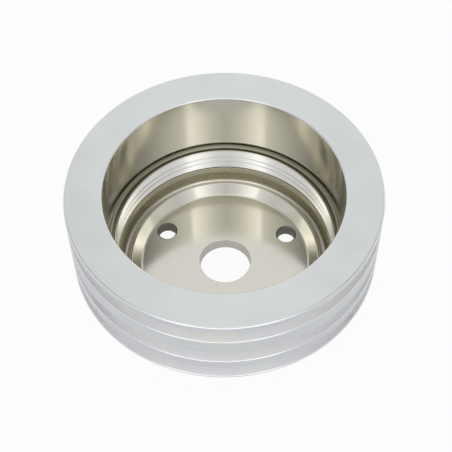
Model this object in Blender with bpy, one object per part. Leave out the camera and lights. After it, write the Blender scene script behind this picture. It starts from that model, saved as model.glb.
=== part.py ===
"""Triple-groove crankshaft pulley for V-belts, in two pieces.

grooved_rim  the turned aluminium ring: a wide front face, three V-grooves outside and a deep stepped bore
hub_cup      the dished hub pressed into the back of the ring: it carries the pilot hole and the bolt holes

The pulley stands on its back face. Z = 0 is that face, Z is the shaft's axis, and the open front faces +Z.
Lengths are in millimetres here and become metres when a mesh is made. Depths are measured down from the
front face, as a turner would measure them.
"""
import math

import bmesh
import bpy

MM = 0.001

# Driving dimensions of the whole pulley.
OVERALL_LENGTH = 74.0
OUTER_RADIUS = 84.0
TURNING_STEPS = 64
ARC_STEPS = 2
FIT_GAP = 0.3
WELD_DISTANCE = 0.01

# The three V-grooves: where each one's mouth starts, and one belt section for all of them.
GROOVE_STARTS = (4.2, 23.3, 38.6)
GROOVE_MOUTH = 9.4
GROOVE_DEPTH = 11.0
GROOVE_ANGLE = math.radians(36.0)
LAND_EDGE = 0.6
RIM_LENGTH = 49.2
RIM_EDGE = 0.9

# The stepped bore of the rim, with a tool-relief groove in its ledge, and the short spigot behind the last
# groove.
MOUTH_RADIUS = 63.8
MOUTH_CHAMFER = 0.5
LEDGE_DEPTH = 41.2
LEDGE_FILLET = 1.2
THROAT_RADIUS = 59.9
RELIEF_OUTER = 62.4
RELIEF_ROOT = 61.4
RELIEF_INNER = 60.8
RELIEF_DEPTH = 43.4
SPIGOT_RADIUS = 71.0
SPIGOT_END = 60.0
SEAT_RADIUS = 64.3
SEAT_DEPTH = 55.6

# The hub cup: its wall, the channel at the wall's foot, the raised bead and the bolting floor.
LIP_RADIUS = 59.5
LIP_END = 58.8
LIP_FOOT = 58.8
CHANNEL_DEPTH = 65.4
CHANNEL_OUTER = 58.0
CHANNEL_FILLET = 2.0
CHANNEL_INNER = 55.2
BEAD_CREST_DEPTH = 62.1
BEAD_OUTER = 53.9
BEAD_INNER = 52.6
FLOOR_DEPTH = 66.6
FLOOR_RADIUS = 47.4
FLOOR_FILLET = 1.6
PILOT_RADIUS = 14.4
HOLE_CHAMFER = 0.4
BACK_CHAMFER = 1.0

# Three bolt holes, turned a little off the X axis.
BOLT_CIRCLE_RADIUS = 39.8
BOLT_HOLE_RADIUS = 5.2
BOLT_COUNTERSINK = 0.7
BOLT_COUNT = 3
BOLT_STEPS = 24
FIRST_BOLT_ANGLE = math.radians(27.0)
CUTTER_REACH = 2.0


def clear_scene():
    for item in list(bpy.data.objects):
        bpy.data.objects.remove(item, do_unlink=True)


def round_corner(before, corner, after, radius, steps):
    """Points of an arc of this radius that touches both sides of a corner."""
    to_before = (before[0] - corner[0], before[1] - corner[1])
    to_after = (after[0] - corner[0], after[1] - corner[1])
    length_before = math.hypot(*to_before)
    length_after = math.hypot(*to_after)
    side_a = (to_before[0] / length_before, to_before[1] / length_before)
    side_b = (to_after[0] / length_after, to_after[1] / length_after)
    half_angle = math.acos(side_a[0] * side_b[0] + side_a[1] * side_b[1]) / 2
    tangent = radius / math.tan(half_angle)
    middle = (side_a[0] + side_b[0], side_a[1] + side_b[1])
    reach = radius / math.sin(half_angle) / math.hypot(*middle)
    centre = (corner[0] + middle[0] * reach, corner[1] + middle[1] * reach)
    start = math.atan2(corner[1] + side_a[1] * tangent - centre[1], corner[0] + side_a[0] * tangent - centre[0])
    end = math.atan2(corner[1] + side_b[1] * tangent - centre[1], corner[0] + side_b[0] * tangent - centre[0])
    sweep = math.remainder(end - start, 2 * math.pi)
    return [
        (
            centre[0] + radius * math.cos(start + sweep * step / steps),
            centre[1] + radius * math.sin(start + sweep * step / steps),
        )
        for step in range(steps + 1)
    ]


def outline(corners):
    """Closed section from (radius, depth, rounding) corners, as (radius, height) points."""
    points = []
    for index, (radius, depth, rounding) in enumerate(corners):
        if rounding == 0:
            points.append((radius, depth))
            continue
        before = corners[index - 1]
        after = corners[(index + 1) % len(corners)]
        steps = ARC_STEPS if rounding > LAND_EDGE else 1
        points.extend(round_corner(before[:2], (radius, depth), after[:2], rounding, steps))
    return [(radius, OVERALL_LENGTH - depth) for radius, depth in points]


def turn(name, section, steps):
    """Spin a (radius, height) section once round the Z axis into a closed solid.

    A section that starts on the axis also ends on it, and is left open between the two.
    """
    mesh = bpy.data.meshes.new(name)
    shape = bmesh.new()
    ring = [shape.verts.new((radius * MM, 0.0, height * MM)) for radius, height in section]
    edges = [shape.edges.new(pair) for pair in zip(ring, ring[1:])]
    if section[0][0] > 0:
        edges.append(shape.edges.new((ring[-1], ring[0])))
    bmesh.ops.spin(
        shape,
        geom=ring + edges,
        cent=(0.0, 0.0, 0.0),
        axis=(0.0, 0.0, 1.0),
        angle=2 * math.pi,
        steps=steps,
        use_merge=True,
    )
    bmesh.ops.remove_doubles(shape, verts=shape.verts, dist=WELD_DISTANCE * MM)
    bmesh.ops.recalc_face_normals(shape, faces=shape.faces)
    shape.to_mesh(mesh)
    shape.free()
    mesh.shade_smooth()
    mesh.set_sharp_from_angle(angle=math.radians(30))
    turned = bpy.data.objects.new(name, mesh)
    bpy.context.collection.objects.link(turned)
    return turned


def metal(name, colour, roughness):
    material = bpy.data.materials.new(name)
    material.use_nodes = True
    shader = material.node_tree.nodes["Principled BSDF"]
    shader.inputs["Base Color"].default_value = (*colour, 1.0)
    shader.inputs["Metallic"].default_value = 1.0
    shader.inputs["Roughness"].default_value = roughness
    return material


def groove_corners(start):
    """The four corners of one V-groove whose mouth starts at this depth."""
    taper = GROOVE_DEPTH * math.tan(GROOVE_ANGLE / 2)
    root = OUTER_RADIUS - GROOVE_DEPTH
    return [
        (OUTER_RADIUS, start, LAND_EDGE),
        (root, start + taper, 0),
        (root, start + GROOVE_MOUTH - taper, 0),
        (OUTER_RADIUS, start + GROOVE_MOUTH, LAND_EDGE),
    ]


def build_grooved_rim():
    corners = [
        (MOUTH_RADIUS, 0.0, MOUTH_CHAMFER),
        (OUTER_RADIUS, 0.0, RIM_EDGE),
    ]
    for start in GROOVE_STARTS:
        corners.extend(groove_corners(start))
    corners.extend(
        [
            (OUTER_RADIUS, RIM_LENGTH, LAND_EDGE),
            (SPIGOT_RADIUS, RIM_LENGTH, LEDGE_FILLET),
            (SPIGOT_RADIUS, SPIGOT_END, RIM_EDGE),
            (SEAT_RADIUS, SPIGOT_END, MOUTH_CHAMFER),
            (SEAT_RADIUS, SEAT_DEPTH, 0),
            (THROAT_RADIUS, SEAT_DEPTH, 0),
            (THROAT_RADIUS, LEDGE_DEPTH, 0),
            (RELIEF_INNER, LEDGE_DEPTH, 0),
            (RELIEF_ROOT, RELIEF_DEPTH, 0),
            (RELIEF_OUTER, RELIEF_DEPTH, 0),
            (RELIEF_OUTER, LEDGE_DEPTH, 0),
            (MOUTH_RADIUS, LEDGE_DEPTH, LEDGE_FILLET),
        ]
    )
    rim = turn("grooved_rim", outline(corners), TURNING_STEPS)
    rim.data.materials.append(metal("turned_aluminium", (0.80, 0.82, 0.83), 0.18))
    return rim


def build_bolt_cutter(name, angle):
    """A hole with a small chamfer below and a wider countersink above, as the solid that it leaves out."""
    wide_below = BOLT_HOLE_RADIUS + HOLE_CHAMFER + CUTTER_REACH
    wide_above = BOLT_HOLE_RADIUS + BOLT_COUNTERSINK + CUTTER_REACH
    floor = OVERALL_LENGTH - FLOOR_DEPTH
    section = [
        (0.0, -CUTTER_REACH),
        (wide_below, -CUTTER_REACH),
        (BOLT_HOLE_RADIUS, HOLE_CHAMFER),
        (BOLT_HOLE_RADIUS, floor - BOLT_COUNTERSINK),
        (wide_above, floor + CUTTER_REACH),
        (0.0, floor + CUTTER_REACH),
    ]
    cutter = turn(name, section, BOLT_STEPS)
    cutter.location = (
        BOLT_CIRCLE_RADIUS * MM * math.cos(angle),
        BOLT_CIRCLE_RADIUS * MM * math.sin(angle),
        0.0,
    )
    cutter.hide_render = True
    cutter.display_type = "WIRE"
    return cutter


def build_hub_cup():
    barrel = SEAT_RADIUS - FIT_GAP
    top = SEAT_DEPTH + FIT_GAP
    corners = [
        (barrel, OVERALL_LENGTH, BACK_CHAMFER),
        (PILOT_RADIUS, OVERALL_LENGTH, HOLE_CHAMFER),
        (PILOT_RADIUS, FLOOR_DEPTH, HOLE_CHAMFER),
        (FLOOR_RADIUS, FLOOR_DEPTH, FLOOR_FILLET),
        (BEAD_INNER, BEAD_CREST_DEPTH, LAND_EDGE),
        (BEAD_OUTER, BEAD_CREST_DEPTH, LAND_EDGE),
        (CHANNEL_INNER, CHANNEL_DEPTH, 0),
        (CHANNEL_OUTER, CHANNEL_DEPTH, CHANNEL_FILLET),
        (LIP_FOOT, LIP_END, 0),
        (LIP_RADIUS, top, HOLE_CHAMFER),
        (barrel, top, 0),
    ]
    hub = turn("hub_cup", outline(corners), TURNING_STEPS)
    hub.data.materials.append(metal("polished_aluminium", (0.74, 0.73, 0.69), 0.15))
    for index in range(BOLT_COUNT):
        angle = FIRST_BOLT_ANGLE + 2 * math.pi * index / BOLT_COUNT
        hole = hub.modifiers.new(f"bolt_hole_{index + 1}", "BOOLEAN")
        hole.operation = "DIFFERENCE"
        hole.object = build_bolt_cutter(f"bolt_cutter_{index + 1}", angle)
    return hub


clear_scene()
build_grooved_rim()
build_hub_cup()
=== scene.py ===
# %% [markdown]
# # A three-groove crankshaft pulley, turned on a lathe in code
#
# The real pulley is a cup of aluminium about 168 mm across. A lathe cuts nearly all of it: a wide flat
# front face, three V-grooves for belts, a deep bore with a ledge, and a dished hub that is pressed in at
# the bottom. Only four holes are drilled. The script follows the maker's order: read the sizes of the
# engineering model, draw each turned section, spin it, drill it, polish it, and light it.

# %% Load the engineering model
import math

import bmesh
import bpy
from mathutils import Euler, Matrix, Vector


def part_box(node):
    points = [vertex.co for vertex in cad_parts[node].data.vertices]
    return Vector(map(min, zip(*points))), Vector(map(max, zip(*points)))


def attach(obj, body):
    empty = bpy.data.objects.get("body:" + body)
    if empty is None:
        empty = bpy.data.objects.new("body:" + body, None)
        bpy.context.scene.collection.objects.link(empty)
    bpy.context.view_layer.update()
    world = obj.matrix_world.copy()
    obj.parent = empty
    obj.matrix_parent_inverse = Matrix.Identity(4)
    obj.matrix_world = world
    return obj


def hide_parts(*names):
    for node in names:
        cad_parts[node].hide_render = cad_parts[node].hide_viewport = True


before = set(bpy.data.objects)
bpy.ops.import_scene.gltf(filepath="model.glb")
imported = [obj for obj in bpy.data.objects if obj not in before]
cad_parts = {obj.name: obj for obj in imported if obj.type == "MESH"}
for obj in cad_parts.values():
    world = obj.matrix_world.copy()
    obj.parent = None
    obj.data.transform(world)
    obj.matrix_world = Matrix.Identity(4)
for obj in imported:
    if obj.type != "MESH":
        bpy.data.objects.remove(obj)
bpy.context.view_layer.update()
rim_low, rim_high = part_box("grooved_rim")
hub_low, hub_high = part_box("hub_cup")
print("grooved rim", tuple(rim_low), tuple(rim_high))
print("hub cup", tuple(hub_low), tuple(hub_high))

# %% [markdown]
# ## Driving sizes
#
# Blender works in metres, and a turner in millimetres measured down from the front face. The first four
# sizes are read from the engineering model, so the outside of the shapes can't drift away from it. The
# others repeat its named sizes.

# %% Sizes of the turned sections
MM = 0.001
OUTER_RADIUS = rim_high.x / MM
OVERALL_LENGTH = rim_high.z / MM
SPIGOT_END = OVERALL_LENGTH - rim_low.z / MM
BARREL_RADIUS = hub_high.x / MM

GROOVE_STARTS = (4.2, 23.3, 38.6)
GROOVE_MOUTH = 9.4
GROOVE_DEPTH = 11.0
GROOVE_ANGLE = math.radians(36.0)
RIM_LENGTH = 49.2
MOUTH_RADIUS = 63.8
LEDGE_DEPTH = 41.2
THROAT_RADIUS = 59.9
RELIEF_OUTER = 62.4
RELIEF_ROOT = 61.4
RELIEF_INNER = 60.8
RELIEF_DEPTH = 43.4
SPIGOT_RADIUS = 71.0
SEAT_RADIUS = 64.3
SEAT_DEPTH = 55.6

LIP_RADIUS = 59.5
LIP_END = 58.8
LIP_FOOT = 58.8
CHANNEL_DEPTH = 65.4
CHANNEL_OUTER = 58.0
CHANNEL_FILLET = 2.0
CHANNEL_INNER = 55.2
BEAD_CREST_DEPTH = 62.1
BEAD_OUTER = 53.9
BEAD_INNER = 52.6
FLOOR_DEPTH = 66.6
FLOOR_RADIUS = 47.4
PILOT_RADIUS = 14.4
BOLT_CIRCLE_RADIUS = 39.8
BOLT_HOLE_RADIUS = 5.2
BOLT_COUNTERSINK = 0.7
BOLT_COUNT = 3
FIRST_BOLT_ANGLE = math.radians(27.0)
JOINT_GAP = 0.3

# The rounding that each edge and corner gets, from the finest deburring to the widest fillet.
RELIEF_EDGE = 0.15
FINE_EDGE = 0.2
BROKEN_EDGE = 0.3
SOFT_EDGE = 0.4
BEAD_ROUNDING = 0.6
LAND_ROUNDING = 0.7
MOUTH_ROUNDING = 0.8
SPIGOT_EDGE = 0.9
FRONT_EDGE = 1.0
BACK_EDGE = 1.0
SPIGOT_FILLET = 1.2
LEDGE_FILLET = 1.2
FLOOR_FILLET = 1.6
print(f"{2 * OUTER_RADIUS:.1f} mm across, {OVERALL_LENGTH:.1f} mm deep")

# %% [markdown]
# ## One helper for nodes
#
# Shader trees and Geometry Nodes trees are both made of nodes with settings, inputs and links. This one
# small function adds a node to either kind: attributes are set by name, and inputs by name or number, with
# a link where the value is another node's output.

# %% Add a node
def add_node(tree, kind, inputs=(), **settings):
    node = tree.nodes.new(kind)
    for name, value in settings.items():
        setattr(node, name, value)
    for key, value in dict(inputs).items():
        if isinstance(value, bpy.types.NodeSocket):
            tree.links.new(value, node.inputs[key])
        else:
            node.inputs[key].default_value = value
    return node


def srgb(code):
    """Linear colour of an sRGB hex code."""
    channels = [int(code[start:start + 2], 16) / 255 for start in (0, 2, 4)]
    return (*[c / 12.92 if c <= 0.04045 else ((c + 0.055) / 1.055) ** 2.4 for c in channels], 1.0)


print("pale grey in linear light:", [round(channel, 3) for channel in srgb("C8CDCD")])

# %% [markdown]
# ## Turned sections
#
# A turned part is one flat outline, spun round an axis. The outline is a list of corners: a radius, a depth
# below the front face, and the rounding that a tool's nose or an emery cloth leaves there. Arcs are worked
# out from the two sides of each corner, so a sharp draft and its rounded form stay one list.

# %% Round the corners of an outline
def round_corner(before, corner, after, radius, steps):
    """Points of the arc of this radius that touches both sides of a corner."""
    before, corner, after = Vector(before), Vector(corner), Vector(after)
    side_a = (before - corner).normalized()
    side_b = (after - corner).normalized()
    half_angle = side_a.angle(side_b) / 2
    centre = corner + (side_a + side_b).normalized() * radius / math.sin(half_angle)
    tangent = radius / math.tan(half_angle)
    start = corner + side_a * tangent - centre
    end = corner + side_b * tangent - centre
    first = math.atan2(start.y, start.x)
    sweep = math.remainder(math.atan2(end.y, end.x) - first, 2 * math.pi)
    angles = [first + sweep * step / steps for step in range(steps + 1)]
    return [(centre.x + radius * math.cos(a), centre.y + radius * math.sin(a)) for a in angles]


def outline(corners, arc_steps=5):
    points = []
    for index, (radius, depth, rounding) in enumerate(corners):
        if rounding == 0:
            points.append((radius, depth))
            continue
        before = corners[index - 1][:2]
        after = corners[(index + 1) % len(corners)][:2]
        points.extend(round_corner(before, (radius, depth), after, rounding, arc_steps))
    return points


# %% [markdown]
# The rim's outline runs out along the front face, down over the three grooves, round the short spigot
# behind them and back up the bore. Its belt lands have small round edges, which catch the light as thin
# bright rings. A narrow relief groove in the ledge lets the boring tool run out, and shows as a dark line
# that painted shade on the ledge corner deepens.

# %% One V-groove
def groove_corners(start):
    taper = GROOVE_DEPTH * math.tan(GROOVE_ANGLE / 2)
    root = OUTER_RADIUS - GROOVE_DEPTH
    return [
        (OUTER_RADIUS, start, LAND_ROUNDING),
        (root, start + taper, SOFT_EDGE),
        (root, start + GROOVE_MOUTH - taper, SOFT_EDGE),
        (OUTER_RADIUS, start + GROOVE_MOUTH, LAND_ROUNDING),
    ]


print("corners of the first groove:", [corner[:2] for corner in groove_corners(GROOVE_STARTS[0])])

# %% [markdown]
# Below the ledge the wall carries feed marks, the thread that a pointed tool leaves when it moves on by its
# own width at each turn. A bump texture could fake them. Here they are real saw teeth in the outline,
# because their upper sides slope at 45 degrees and throw the tent's light up out of the cup, which makes
# this wall a bright band. They are drawn coarser than a real feed, so that they show.

# %% Feed marks below the ledge
RIDGE_COUNT = 14
RIDGE_PITCH = 1.0
RIDGE_HEIGHT = 0.5
DEEP_RIDGES = (4, 8)
DEEP_RIDGE_HEIGHT = 0.8


def throat_ridges():
    """Corners of the saw teeth, from the bottom up. The two deeper ones show as dark lines."""
    margin = (SEAT_DEPTH - LEDGE_DEPTH - RIDGE_COUNT * RIDGE_PITCH) / 2
    ridges = []
    for index in range(RIDGE_COUNT):
        depth = SEAT_DEPTH - margin - index * RIDGE_PITCH
        ridges.append((THROAT_RADIUS, depth, 0))
        height = DEEP_RIDGE_HEIGHT if index in DEEP_RIDGES else RIDGE_HEIGHT
        ridges.append((THROAT_RADIUS + height, depth - RIDGE_PITCH / 2, 0))
    return ridges


print(RIDGE_COUNT, "ridges over", RIDGE_COUNT * RIDGE_PITCH, "mm of wall")

# %% Outline of the whole rim
rim_corners = [(MOUTH_RADIUS, 0.0, MOUTH_ROUNDING), (OUTER_RADIUS, 0.0, FRONT_EDGE)]
for groove_start in GROOVE_STARTS:
    rim_corners.extend(groove_corners(groove_start))
rim_corners.extend(
    [
        (OUTER_RADIUS, RIM_LENGTH, BROKEN_EDGE),
        (SPIGOT_RADIUS, RIM_LENGTH, SPIGOT_FILLET),
        (SPIGOT_RADIUS, SPIGOT_END, SPIGOT_EDGE),
        (SEAT_RADIUS, SPIGOT_END, SOFT_EDGE),
        (SEAT_RADIUS, SEAT_DEPTH, FINE_EDGE),
        *throat_ridges(),
        (THROAT_RADIUS, LEDGE_DEPTH, 0),
        (RELIEF_INNER, LEDGE_DEPTH, RELIEF_EDGE),
        (RELIEF_ROOT, RELIEF_DEPTH, FINE_EDGE),
        (RELIEF_OUTER, RELIEF_DEPTH, FINE_EDGE),
        (RELIEF_OUTER, LEDGE_DEPTH, RELIEF_EDGE),
        (MOUTH_RADIUS, LEDGE_DEPTH, LEDGE_FILLET),
    ]
)
rim_outline = outline(rim_corners)
print(len(rim_outline), "points round the rim's section")

# %% [markdown]
# The hub's outline starts at its back edge and comes up through the pilot hole. Inside the cup it crosses
# the flat floor that the bolts clamp, climbs a long slope to a raised bead, drops into a shallow channel,
# and rises from the channel's rounded corner up a slightly flared wall.

# %% Outline of the hub cup
hub_corners = [
    (BARREL_RADIUS, OVERALL_LENGTH, BACK_EDGE),
    (PILOT_RADIUS, OVERALL_LENGTH, SOFT_EDGE),
    (PILOT_RADIUS, FLOOR_DEPTH, SOFT_EDGE),
    (FLOOR_RADIUS, FLOOR_DEPTH, FLOOR_FILLET),
    (BEAD_INNER, BEAD_CREST_DEPTH, BEAD_ROUNDING),
    (BEAD_OUTER, BEAD_CREST_DEPTH, BEAD_ROUNDING),
    (CHANNEL_INNER, CHANNEL_DEPTH, BROKEN_EDGE),
    (CHANNEL_OUTER, CHANNEL_DEPTH, CHANNEL_FILLET),
    (LIP_FOOT, LIP_END, BROKEN_EDGE),
    (LIP_RADIUS, SEAT_DEPTH + JOINT_GAP, BROKEN_EDGE),
    (BARREL_RADIUS, SEAT_DEPTH + JOINT_GAP, BROKEN_EDGE),
]
hub_outline = outline(hub_corners)
print(len(hub_outline), "points round the hub's section")

# %% [markdown]
# ## The lathe, as Geometry Nodes
#
# A Screw modifier could spin the outline. A node tree does it too, and keeps the spindle's steps and the
# metal as named inputs that both pieces share. The outline is swept round a small circle by Curve to Mesh:
# the circle's normal points outwards, so an outline's first number becomes a radius and its second a depth.

# %% Build the lathe tree
SPINDLE_RADIUS = 1.0


def lathe_tree():
    tree = bpy.data.node_groups.new("lathe", "GeometryNodeTree")
    face = tree.interface
    face.new_socket("Section", in_out="INPUT", socket_type="NodeSocketGeometry")
    face.new_socket("Steps", in_out="INPUT", socket_type="NodeSocketInt")
    face.new_socket("Front height", in_out="INPUT", socket_type="NodeSocketFloat")
    face.new_socket("Metal", in_out="INPUT", socket_type="NodeSocketMaterial")
    face.new_socket("Turned piece", in_out="OUTPUT", socket_type="NodeSocketGeometry")
    given = tree.nodes.new("NodeGroupInput").outputs
    section = add_node(tree, "GeometryNodeMeshToCurve", {"Mesh": given["Section"]})
    spindle = add_node(
        tree,
        "GeometryNodeCurvePrimitiveCircle",
        {"Resolution": given["Steps"], "Radius": SPINDLE_RADIUS * MM},
    )
    swept = add_node(
        tree,
        "GeometryNodeCurveToMesh",
        {"Curve": spindle.outputs["Curve"], "Profile Curve": section.outputs["Curve"]},
    )
    lift = add_node(tree, "ShaderNodeCombineXYZ", {"Z": given["Front height"]})
    raised = add_node(
        tree,
        "GeometryNodeTransform",
        {"Geometry": swept.outputs["Mesh"], "Translation": lift.outputs["Vector"]},
    )
    solid = add_node(tree, "GeometryNodeRealizeInstances", {"Geometry": raised.outputs["Geometry"]})
    finished = add_node(
        tree,
        "GeometryNodeSetMaterial",
        {"Geometry": solid.outputs["Geometry"], "Material": given["Metal"]},
    )
    add_node(tree, "NodeGroupOutput", {0: finished.outputs["Geometry"]})
    return tree


lathe = lathe_tree()
print("lathe inputs:", [item.name for item in lathe.interface.items_tree if item.in_out == "INPUT"])

# %% [markdown]
# ## The drill, as a second tree
#
# The bolt holes repeat round a circle, so one drill is copied to the points of a ring and all the copies
# are cut away at once. The drill is a cylinder with a cone at each end, which breaks the hole's two edges.

# %% Build the drilling tree
HOLE_STEPS = 72
EDGE_BREAK = 0.25 * MM
DRILL_REACH = 3.0 * MM
BIT_LENGTH = 30.0 * MM


def drill_tree():
    tree = bpy.data.node_groups.new("bolt_circle_drill", "GeometryNodeTree")
    face = tree.interface
    face.new_socket("Blank", in_out="INPUT", socket_type="NodeSocketGeometry")
    face.new_socket("Holes", in_out="INPUT", socket_type="NodeSocketInt")
    for name in ("Circle radius", "First angle", "Hole radius", "Floor height"):
        face.new_socket(name, in_out="INPUT", socket_type="NodeSocketFloat")
    face.new_socket("Metal", in_out="INPUT", socket_type="NodeSocketMaterial")
    face.new_socket("Drilled piece", in_out="OUTPUT", socket_type="NodeSocketGeometry")
    given = tree.nodes.new("NodeGroupInput").outputs

    bit = add_node(
        tree,
        "GeometryNodeMeshCylinder",
        {"Vertices": HOLE_STEPS, "Radius": given["Hole radius"], "Depth": BIT_LENGTH},
    )

    # Each cone slopes at 45 degrees, from a narrow end inside the hole to a wide end clear of the metal.
    # Where it meets the face, its radius is the hole's plus the depth of the broken edge.
    inside = DRILL_REACH / 2
    narrow = add_node(
        tree, "ShaderNodeMath", {0: given["Hole radius"], 1: -inside}, operation="ADD"
    ).outputs["Value"]
    over_start = add_node(
        tree,
        "ShaderNodeMath",
        {0: given["Floor height"], 1: -BOLT_COUNTERSINK * MM - inside},
        operation="ADD",
    ).outputs["Value"]
    cones = []
    for depth, wide_end, narrow_end, start in (
        (EDGE_BREAK, "Radius Bottom", "Radius Top", -DRILL_REACH),
        (BOLT_COUNTERSINK * MM, "Radius Top", "Radius Bottom", over_start),
    ):
        wide = add_node(
            tree,
            "ShaderNodeMath",
            {0: given["Hole radius"], 1: depth + DRILL_REACH},
            operation="ADD",
        ).outputs["Value"]
        length = depth + DRILL_REACH + inside
        cone = add_node(
            tree,
            "GeometryNodeMeshCone",
            {"Vertices": HOLE_STEPS, wide_end: wide, narrow_end: narrow, "Depth": length},
        )
        where = add_node(tree, "ShaderNodeCombineXYZ", {"Z": start})
        placed = add_node(
            tree,
            "GeometryNodeTransform",
            {"Geometry": cone.outputs["Mesh"], "Translation": where.outputs["Vector"]},
        )
        cones.append(placed.outputs["Geometry"])

    ring = add_node(
        tree,
        "GeometryNodeMeshCircle",
        {"Vertices": given["Holes"], "Radius": given["Circle radius"]},
    )
    turn = add_node(tree, "ShaderNodeCombineXYZ", {"Z": given["First angle"]})
    centres = add_node(
        tree,
        "GeometryNodeTransform",
        {"Geometry": ring.outputs["Mesh"], "Rotation": turn.outputs["Vector"]},
    )
    cut = add_node(
        tree,
        "GeometryNodeMeshBoolean",
        {"Mesh 1": given["Blank"]},
        operation="DIFFERENCE",
        solver="EXACT",
    )
    for cutter in (bit.outputs["Mesh"], *cones):
        copies = add_node(
            tree,
            "GeometryNodeInstanceOnPoints",
            {"Points": centres.outputs["Geometry"], "Instance": cutter},
        )
        tree.links.new(copies.outputs["Instances"], cut.inputs["Mesh 2"])
    solid = add_node(tree, "GeometryNodeRealizeInstances", {"Geometry": cut.outputs["Mesh"]})
    finished = add_node(
        tree,
        "GeometryNodeSetMaterial",
        {"Geometry": solid.outputs["Geometry"], "Material": given["Metal"]},
    )
    add_node(tree, "NodeGroupOutput", {0: finished.outputs["Geometry"]})
    return tree


drill = drill_tree()
print("drill inputs:", [item.name for item in drill.interface.items_tree if item.in_out == "INPUT"])

# %% [markdown]
# ## Running a tree
#
# A tree's result lives only in the modifier. The helper below sets the named inputs, takes the finished
# mesh from the evaluated object, and drops the modifier, so what is left is a plain mesh.

# %% Run a tree on a piece
def run_tree(piece, tree, **values):
    modifier = piece.modifiers.new(tree.name, "NODES")
    modifier.node_group = tree
    for item in tree.interface.items_tree:
        key = item.name.lower().replace(" ", "_")
        if item.in_out == "INPUT" and key in values:
            modifier[item.identifier] = values[key]
    bpy.context.view_layer.update()
    evaluated = piece.evaluated_get(bpy.context.evaluated_depsgraph_get())
    mesh = bpy.data.meshes.new_from_object(evaluated)
    piece.modifiers.remove(modifier)
    piece.data = mesh
    mesh.name = piece.name
    return piece


def turned_piece(name, points, steps, metal):
    mesh = bpy.data.meshes.new(name)
    corners = [((radius - SPINDLE_RADIUS) * MM, depth * MM, 0) for radius, depth in points]
    links = [(index, (index + 1) % len(corners)) for index in range(len(corners))]
    mesh.from_pydata(corners, links, [])
    piece = bpy.data.objects.new(name, mesh)
    bpy.context.collection.objects.link(piece)
    return run_tree(piece, lathe, steps=steps, front_height=OVERALL_LENGTH * MM, metal=metal)


print("tools ready:", lathe.name, "and", drill.name)

# %% [markdown]
# A cut may leave doubled points and slivers. The next helper merges them, points every face outwards, and
# counts open edges: a real piece of metal has none. Long flat faces then keep their own normals, so that
# the small fillets beside them don't bend a reflection.

# %% Close a shell and shade it
MERGE_DISTANCE = 0.002 * MM
SHARP_ANGLE = math.radians(25)
FLAT_FACES_FIRST = 100
CUBIC_CENTIMETRE = (10 * MM) ** 3


def close_shell(piece):
    shape = bmesh.new()
    shape.from_mesh(piece.data)
    bmesh.ops.remove_doubles(shape, verts=shape.verts, dist=MERGE_DISTANCE)
    bmesh.ops.dissolve_degenerate(shape, edges=shape.edges, dist=MERGE_DISTANCE)
    bmesh.ops.recalc_face_normals(shape, faces=shape.faces)
    open_edges = sum(not edge.is_manifold for edge in shape.edges)
    volume = shape.calc_volume() / CUBIC_CENTIMETRE
    triangles = sum(len(face.verts) - 2 for face in shape.faces)
    shape.to_mesh(piece.data)
    shape.free()
    piece.data.shade_smooth()
    piece.data.set_sharp_from_angle(angle=SHARP_ANGLE)
    weighted = piece.modifiers.new("true_faces", "WEIGHTED_NORMAL")
    weighted.keep_sharp = True
    weighted.weight = FLAT_FACES_FIRST
    print(f"{piece.name}: {triangles} triangles, {volume:.1f} cm3, {open_edges} open edges")


print(f"faces that meet at more than {math.degrees(SHARP_ANGLE):.0f} degrees keep a sharp edge")

# %% [markdown]
# ## The metals
#
# Bare aluminium reflects about nine tenths of the light, with hardly any colour of its own. The outside is
# turned and brushed to a satin white, and the bore is polished and looks a little warmer. Turning leaves
# rings as fine as a record's grooves. They blur a reflection across the rings and keep it sharp along them,
# which is what the shader's anisotropy does. Image textures could carry all of this; noise in the two
# directions that a lathe knows, out from the axis and along it, gives rings on flat faces and on walls
# alike.
#
# Real rings are a tenth of a millimetre apart or finer, too fine to show. They are drawn 0.8 to 2 mm apart
# and very shallow, as coarse as they need to be to be seen.

# %% Turned aluminium
PATCH_SIZE = 18 * MM
RING_SOFTNESS = 0.4
SHINIEST_PATCH = 0.85
DULLEST_PATCH = 1.2
TONE_SEED = 3.0
# A quarter turn lays the blur across the rings.
ACROSS_THE_RINGS = 0.25


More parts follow.
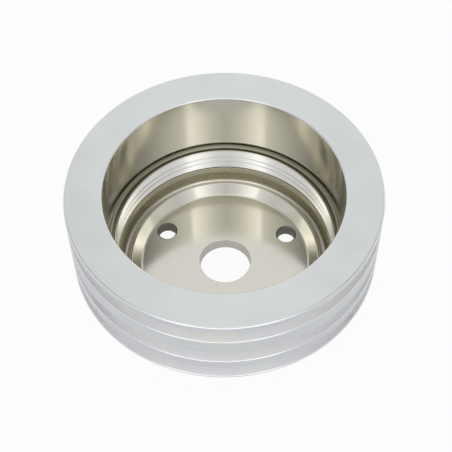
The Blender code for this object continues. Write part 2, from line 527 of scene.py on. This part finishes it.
def turned_aluminium(name, colours, roughness, anisotropy, ring_pitch_mm, ring_depth_mm):
    material = bpy.data.materials.new(name)
    material.use_nodes = True
    tree = material.node_tree
    shader = tree.nodes["Principled BSDF"]
    shader.inputs["Metallic"].default_value = 1.0
    shader.inputs["Anisotropic"].default_value = anisotropy
    shader.inputs["Anisotropic Rotation"].default_value = ACROSS_THE_RINGS
    place = add_node(tree, "ShaderNodeTexCoord").outputs["Object"]
    along = add_node(tree, "ShaderNodeTangent", direction_type="RADIAL", axis="Z")
    tree.links.new(along.outputs["Tangent"], shader.inputs["Tangent"])

    axes = add_node(tree, "ShaderNodeSeparateXYZ", {"Vector": place}).outputs
    flat = add_node(tree, "ShaderNodeCombineXYZ", {"X": axes["X"], "Y": axes["Y"]})
    radius = add_node(tree, "ShaderNodeVectorMath", {0: flat.outputs["Vector"]}, operation="LENGTH")
    reach = add_node(
        tree, "ShaderNodeCombineXYZ", {"X": radius.outputs["Value"], "Y": axes["Z"]}
    ).outputs["Vector"]
    lines = add_node(
        tree,
        "ShaderNodeTexNoise",
        {
            "Vector": reach,
            "Scale": 1 / (ring_pitch_mm * MM),
            "Detail": 1.0,
            "Roughness": RING_SOFTNESS,
        },
        noise_dimensions="2D",
    )
    bump = add_node(
        tree,
        "ShaderNodeBump",
        {"Height": lines.outputs["Fac"], "Strength": 1.0, "Distance": ring_depth_mm * MM},
    )
    tree.links.new(bump.outputs["Normal"], shader.inputs["Normal"])

    # Polishing by hand leaves soft patches, some shinier and some duller. Nearly all of a noise texture's
    # values lie between 0.3 and 0.7, so that span is stretched over the whole change.
    haze = add_node(
        tree,
        "ShaderNodeTexNoise",
        {"Vector": place, "Scale": 1 / PATCH_SIZE, "Detail": 2.0},
    )
    dulled = add_node(
        tree,
        "ShaderNodeMapRange",
        {
            "Value": haze.outputs["Fac"],
            "From Min": 0.3,
            "From Max": 0.7,
            "To Min": roughness * SHINIEST_PATCH,
            "To Max": roughness * DULLEST_PATCH,
        },
    )
    tree.links.new(dulled.outputs["Result"], shader.inputs["Roughness"])

    # The tone drifts between two colours over patches twice as wide.
    patches = add_node(
        tree,
        "ShaderNodeTexNoise",
        {"Vector": place, "Scale": 0.5 / PATCH_SIZE, "Detail": 2.0, "W": TONE_SEED},
        noise_dimensions="4D",
    )
    share = add_node(
        tree,
        "ShaderNodeMapRange",
        {"Value": patches.outputs["Fac"], "From Min": 0.35, "From Max": 0.65},
    )
    # Of a Mix node's sockets, 6 and 7 are its two colours, and 2 is the colour that comes out.
    blend = add_node(
        tree,
        "ShaderNodeMix",
        {0: share.outputs["Result"], 6: srgb(colours[0]), 7: srgb(colours[1])},
        data_type="RGBA",
    )
    tree.links.new(blend.outputs[2], shader.inputs["Base Color"])
    return material


print("patches of about", PATCH_SIZE / MM, "mm")

# %% [markdown]
# The same metal looks different wherever a different tool touched it last. In the ledge corner, the bead's
# channel and the bolt holes a darker tone is also painted shade. There are nine finishes. Each takes its
# two tones, its roughness, how much the rings stretch a reflection, and the rings' spacing and depth in
# millimetres.

# %% The finish of each surface
# Faced and lightly brushed: an even, cool white with no clear reflection.
satin_face = turned_aluminium("satin_faced_aluminium", ("EAF0EF", "EDF0F0"), 0.32, 0.3, 2.0, 0.0012)
# Turned outside edges of the belt lands: satin, and a shade greyer than the face.
belt_lands = turned_aluminium("satin_turned_aluminium", ("D9DAE3", "DFE2E3"), 0.36, 0.3, 2.0, 0.0012)
# Groove walls, left as the forming tool cut them: the softest sheen outside.
belt_flanks = turned_aluminium("satin_groove_aluminium", ("F3F4FA", "F5F6F3"), 0.46, 0.2, 2.0, 0.0012)
# Edges rubbed bright in handling: they carry the thin highlights.
burnished_edge = turned_aluminium("burnished_edge_aluminium", ("F4F5F8", "F4F5F5"), 0.24, 0.2, 2.0, 0.0)
# Buffed bore, floor and bead: clear, warm reflections with dark and light bars.
polished_bore = turned_aluminium("polished_turned_aluminium", ("E8E5DB", "E6E4D8"), 0.12, 0.5, 1.2, 0.0008)
# Ridged wall below the ledge: bright on the ridges, less clear than the buffed bore.
coarse_throat = turned_aluminium("coarse_turned_aluminium", ("F3F2EE", "F0EFE8"), 0.20, 0.5, 1.2, 0.0010)
# Corner of the ledge and its relief groove: dull, and dark with painted shade for the shade in this recess.
painted_shade_corner = turned_aluminium("dull_corner_aluminium", ("B0AC9B", "A6A28F"), 0.34, 0.4, 1.2, 0.0010)
# Channel round the bead: half polished, between the bore and the corner, and darker in tone as painted
# shade for the shade in the channel.
painted_shade_channel = turned_aluminium("dull_channel_aluminium", ("DBD8C8", "D2CEBC"), 0.28, 0.4, 1.2, 0.0010)
# Walls of the bolt holes, as the drill left them: rough, with hardly a reflection, and grey with painted
# shade for the shade inside the holes.
painted_shade_hole_wall = turned_aluminium("drilled_aluminium", ("9A988F", "8D8B82"), 0.42, 0.2, 0.8, 0.0040)
metals = (
    satin_face,
    belt_lands,
    belt_flanks,
    burnished_edge,
    polished_bore,
    coarse_throat,
    painted_shade_corner,
    painted_shade_channel,
    painted_shade_hole_wall,
)
print("metals:", [metal.name for metal in metals])

# %% [markdown]
# ## Turning and drilling
#
# One step of the spindle is one degree, which keeps the widest circle's facets under 1.5 mm and its outline
# smooth. The rim only needs the lathe. The hub goes on to the drill for its three bolt holes; its pilot
# hole is part of the turned outline.

# %% Turn the rim and the hub
SPINDLE_STEPS = 360
rim = turned_piece("turned_rim", rim_outline, SPINDLE_STEPS, satin_face)
hub = turned_piece("pressed_hub", hub_outline, SPINDLE_STEPS, polished_bore)
run_tree(
    hub,
    drill,
    holes=BOLT_COUNT,
    circle_radius=BOLT_CIRCLE_RADIUS * MM,
    first_angle=FIRST_BOLT_ANGLE,
    hole_radius=BOLT_HOLE_RADIUS * MM,
    floor_height=(OVERALL_LENGTH - FLOOR_DEPTH) * MM,
    metal=polished_bore,
)
close_shell(rim)
close_shell(hub)

# %% [markdown]
# ## Which surface gets which finish
#
# A lathe hand knows a surface by where it is: how far out from the axis and how deep below the front face.
# The finishes are given out in the same way, face by face. Separate objects for each surface would be
# another way, but they would open the shells. The allowance keeps a face that lies on a boundary on the
# right side of it.

# %% Give each turned surface its own finish
EDGE_ALLOWANCE = 0.05
BURNISHED_WIDTH = 0.7


def rim_finish(radius, depth):
    if LEDGE_DEPTH < depth < SEAT_DEPTH and radius < THROAT_RADIUS + DEEP_RIDGE_HEIGHT:
        return coarse_throat
    # The ledge corner and the relief groove get the dark painted shade.
    if depth > LEDGE_DEPTH - LEDGE_FILLET and radius < MOUTH_RADIUS - EDGE_ALLOWANCE:
        return painted_shade_corner
    if radius < MOUTH_RADIUS + EDGE_ALLOWANCE:
        return polished_bore
    if depth < EDGE_ALLOWANCE and radius > MOUTH_RADIUS + BURNISHED_WIDTH:
        return satin_face
    if radius > OUTER_RADIUS - EDGE_ALLOWANCE:
        return belt_lands
    near_rim_edge = radius > OUTER_RADIUS - BURNISHED_WIDTH or depth < BURNISHED_WIDTH
    return burnished_edge if near_rim_edge else belt_flanks


def hub_finish(radius, depth, to_bolt_axis):
    # Bolt hole walls get the grey painted shade.
    if to_bolt_axis < BOLT_HOLE_RADIUS + BOLT_COUNTERSINK - EDGE_ALLOWANCE:
        return painted_shade_hole_wall
    outside_bead = BEAD_OUTER < radius < LIP_RADIUS + EDGE_ALLOWANCE
    # The channel gets a darker tone, painted shade, except at the polished foot of its wall.
    if outside_bead and depth < CHANNEL_DEPTH + EDGE_ALLOWANCE:
        at_wall_foot = radius > CHANNEL_OUTER - CHANNEL_FILLET and depth > CHANNEL_DEPTH - CHANNEL_FILLET
        return polished_bore if at_wall_foot else painted_shade_channel
    return polished_bore


def finish_faces(piece, finish_of):
    """Give every face the metal that finish_of(radius, depth, to_bolt_axis) names, in millimetres."""
    slots = []
    piece.data.materials.clear()
    for face in piece.data.polygons:
        centre = face.center / MM
        angle = math.atan2(centre.y, centre.x) - FIRST_BOLT_ANGLE
        step = 2 * math.pi / BOLT_COUNT
        bolt_angle = FIRST_BOLT_ANGLE + round(angle / step) * step
        bolt = Vector((math.cos(bolt_angle), math.sin(bolt_angle))) * BOLT_CIRCLE_RADIUS
        metal = finish_of(centre.xy.length, OVERALL_LENGTH - centre.z, (centre.xy - bolt).length)
        if metal not in slots:
            slots.append(metal)
            piece.data.materials.append(metal)
        face.material_index = slots.index(metal)
    print(piece.name, "finishes:", [metal.name for metal in slots])


finish_faces(rim, lambda radius, depth, to_bolt_axis: rim_finish(radius, depth))
finish_faces(hub, hub_finish)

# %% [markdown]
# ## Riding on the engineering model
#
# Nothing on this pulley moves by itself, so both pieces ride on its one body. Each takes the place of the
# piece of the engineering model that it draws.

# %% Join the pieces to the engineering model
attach(rim, "root")
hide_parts("grooved_rim")
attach(hub, "root")
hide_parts("hub_cup")
print("joined:", rim.name, "and", hub.name)

# %% [markdown]
# ## The table
#
# Polished metal shows its surroundings more than itself, so the surroundings are part of the picture. The
# pulley stands on a white card. A lamp from above could light the card, but it would also throw a shadow,
# and there is none here. So the card glows: nearly pure white to the eye, and softer in the metal's
# reflections. Under the pulley and close round it the card lies in shade, which is what the reflections low
# in the holes show.

# %% White table
TABLE_SIZE = 12.0
TABLE_GAP = 0.2 * MM
CARD_GLOW = 0.76
CARD_WHITE = 0.94
SHADE_INNER = 66.0
SHADE_OUTER = 90.0
SHADE_LEVEL = 0.3


def white_table():
    material = bpy.data.materials.new("white_card")
    material.use_nodes = True
    tree = material.node_tree
    tree.nodes.clear()
    seen_directly = add_node(tree, "ShaderNodeLightPath").outputs["Is Camera Ray"]
    card = add_node(tree, "ShaderNodeBsdfDiffuse", {"Color": srgb("F9F9F9")}).outputs["BSDF"]
    glow = add_node(tree, "ShaderNodeEmission", {"Strength": 1.0}).outputs["Emission"]
    soft_glow = add_node(tree, "ShaderNodeEmission", {"Strength": CARD_GLOW}).outputs["Emission"]
    place = add_node(tree, "ShaderNodeTexCoord").outputs["Object"]
    distance = add_node(tree, "ShaderNodeVectorMath", {0: place}, operation="LENGTH").outputs["Value"]
    lit_part = add_node(
        tree,
        "ShaderNodeMapRange",
        {
            "Value": distance,
            "From Min": SHADE_INNER * MM,
            "From Max": SHADE_OUTER * MM,
            "To Min": SHADE_LEVEL,
        },
    ).outputs["Result"]
    around = add_node(tree, "ShaderNodeMixShader", {0: lit_part, 1: card, 2: soft_glow}).outputs["Shader"]
    white = add_node(tree, "ShaderNodeMixShader", {0: CARD_WHITE, 1: card, 2: glow}).outputs["Shader"]
    surface = add_node(tree, "ShaderNodeMixShader", {0: seen_directly, 1: around, 2: white})
    add_node(tree, "ShaderNodeOutputMaterial", {"Surface": surface.outputs["Shader"]})
    return material


bpy.ops.mesh.primitive_plane_add(size=TABLE_SIZE, location=(0, 0, -TABLE_GAP))
table = bpy.context.object
table.name = "white_table"
table.data.materials.append(white_table())
print("table:", tuple(table.dimensions))

# %% [markdown]
# ## The tent
#
# The rest of the light comes from a pale cloth tent, drawn as the world's background, so there are no
# lamps. A polished cup turns the tent into upright bars, because each strip of its wall faces one
# direction. The cloth's brightness is therefore a curve round the compass, the same to the left and right
# of a line close to the lens. Two more curves run up from the horizon: a dim band all round, for the belt
# grooves, and a bright strip at the front only, for the thin highlights on the edges of the lands. The
# brightest of the three wins, and the roof has one even tone.

# %% Pale tent
TENT_TURN = math.radians(2.5)
TENT_STRENGTH = 1.3
# How bright the cloth is, by the angle in degrees from the lens.
TENT_STOPS = (
    (0, 0.46),
    (12, 0.56),
    (24, 0.78),
    (36, 1.0),
    (39, 0.62),
    (60, 0.44),
    (90, 0.22),
    (115, 0.12),
    (138, 0.20),
    (158, 0.60),
    (180, 0.62),
)
# The dim band and the bright strip, by the sine of the height above the horizon.
LOW_BAND_STOPS = ((0.0, 0.56), (0.40, 0.60), (0.48, 0.56), (0.64, 0.46), (0.72, 0.0))
FRONT_STOPS = ((0.0, 0.0), (0.08, 1.4), (0.34, 1.4), (0.46, 0.0))
# How the strip fades to the sides, by the share of the half circle from the lens.
FRONT_FADE = ((0.0, 1.0), (0.16, 1.0), (0.25, 0.0))
TENT_TOP = 0.66
ROOF_STARTS = 0.86
ROOF_FULL = 0.97


def pale_tent():
    world = bpy.data.worlds.new("pale_tent")
    world.use_nodes = True
    tree = world.node_tree
    tree.nodes.clear()

    direction = add_node(tree, "ShaderNodeTexCoord").outputs["Generated"]
    side = add_node(tree, "ShaderNodeSeparateXYZ", {"Vector": direction}).outputs
    towards_lens = add_node(
        tree, "ShaderNodeMath", {0: side["Y"], 1: -1.0}, operation="MULTIPLY"
    ).outputs["Value"]
    compass = add_node(
        tree, "ShaderNodeMath", {0: side["X"], 1: towards_lens}, operation="ARCTAN2"
    ).outputs["Value"]
    turned = add_node(
        tree, "ShaderNodeMath", {0: compass, 1: TENT_TURN}, operation="ADD"
    ).outputs["Value"]
    either_side = add_node(
        tree, "ShaderNodeMath", {0: turned}, operation="ABSOLUTE"
    ).outputs["Value"]
    from_lens = add_node(
        tree, "ShaderNodeMath", {0: either_side, 1: math.pi}, operation="DIVIDE"
    ).outputs["Value"]

    curves = []
    for value, stops in (
        (from_lens, [(degrees / 180, light) for degrees, light in TENT_STOPS]),
        (side["Z"], LOW_BAND_STOPS),
        (side["Z"], FRONT_STOPS),
        (from_lens, FRONT_FADE),
    ):
        curve = add_node(tree, "ShaderNodeValToRGB", {"Fac": value})
        elements = curve.color_ramp.elements
        while len(elements) < len(stops):
            elements.new(1.0)
        for element, (position, light) in zip(elements, stops):
            element.position = position
            element.color = (light, light, light, 1.0)
        curves.append(curve.outputs["Color"])
    around, low_band, front, fade = curves

    # Of a Mix node's sockets, 6 and 7 are its two colours, and 2 is the colour that comes out.
    front_strip = add_node(
        tree, "ShaderNodeMix", {0: 1.0, 6: front, 7: fade}, data_type="RGBA", blend_type="MULTIPLY"
    ).outputs[2]
    walls = add_node(
        tree, "ShaderNodeMix", {0: 1.0, 6: around, 7: low_band}, data_type="RGBA", blend_type="LIGHTEN"
    ).outputs[2]
    cloth = add_node(
        tree, "ShaderNodeMix", {0: 1.0, 6: walls, 7: front_strip}, data_type="RGBA", blend_type="LIGHTEN"
    ).outputs[2]
    height = add_node(
        tree,
        "ShaderNodeMapRange",
        {"Value": side["Z"], "From Min": ROOF_STARTS, "From Max": ROOF_FULL, "To Max": 1.0},
        interpolation_type="SMOOTHSTEP",
    )
    top = (TENT_TOP, TENT_TOP, TENT_TOP, 1.0)
    lit = add_node(
        tree,
        "ShaderNodeMix",
        {0: height.outputs["Result"], 6: cloth, 7: top},
        data_type="RGBA",
    )
    light = add_node(tree, "ShaderNodeBackground", {"Color": lit.outputs[2], "Strength": TENT_STRENGTH})
    add_node(tree, "ShaderNodeOutputWorld", {"Surface": light.outputs["Background"]})
    return world


bpy.context.scene.world = pale_tent()
print("tent curve:", len(TENT_STOPS), "stops from the lens round to the back")

# %% [markdown]
# ## The camera
#
# The viewer stands in front of the pulley and looks steeply down into it, from about seven times its radius
# away, with a long lens that keeps the rim's ellipse nearly true. The camera aims a little below the front
# face. The Standard view keeps the whites white and the metal's greys as they are, where a film-like view
# would dull them.

# %% Camera
view_elevation = math.radians(54.28)
view_roll = math.radians(-0.86)
radii_away = 7.313
aim_in_radii = Vector((0.009, 0.0, -0.387))
lens_mm = 89.6

view_distance = radii_away * OUTER_RADIUS * MM
aim = aim_in_radii * OUTER_RADIUS * MM + Vector((0, 0, OVERALL_LENGTH * MM))
towards_viewer = Vector((0, -math.cos(view_elevation), math.sin(view_elevation)))
camera_data = bpy.data.cameras.new("studio_camera")
camera_data.lens = lens_mm
camera = bpy.data.objects.new("studio_camera", camera_data)
bpy.context.collection.objects.link(camera)
camera.location = aim + towards_viewer * view_distance
tilt = Euler((math.pi / 2 - view_elevation, 0, 0)).to_matrix() @ Matrix.Rotation(view_roll, 3, "Z")
camera.rotation_euler = tilt.to_euler()
bpy.context.scene.camera = camera

bpy.context.scene.view_settings.view_transform = "Standard"
print(f"camera {view_distance:.3f} m from its aim")
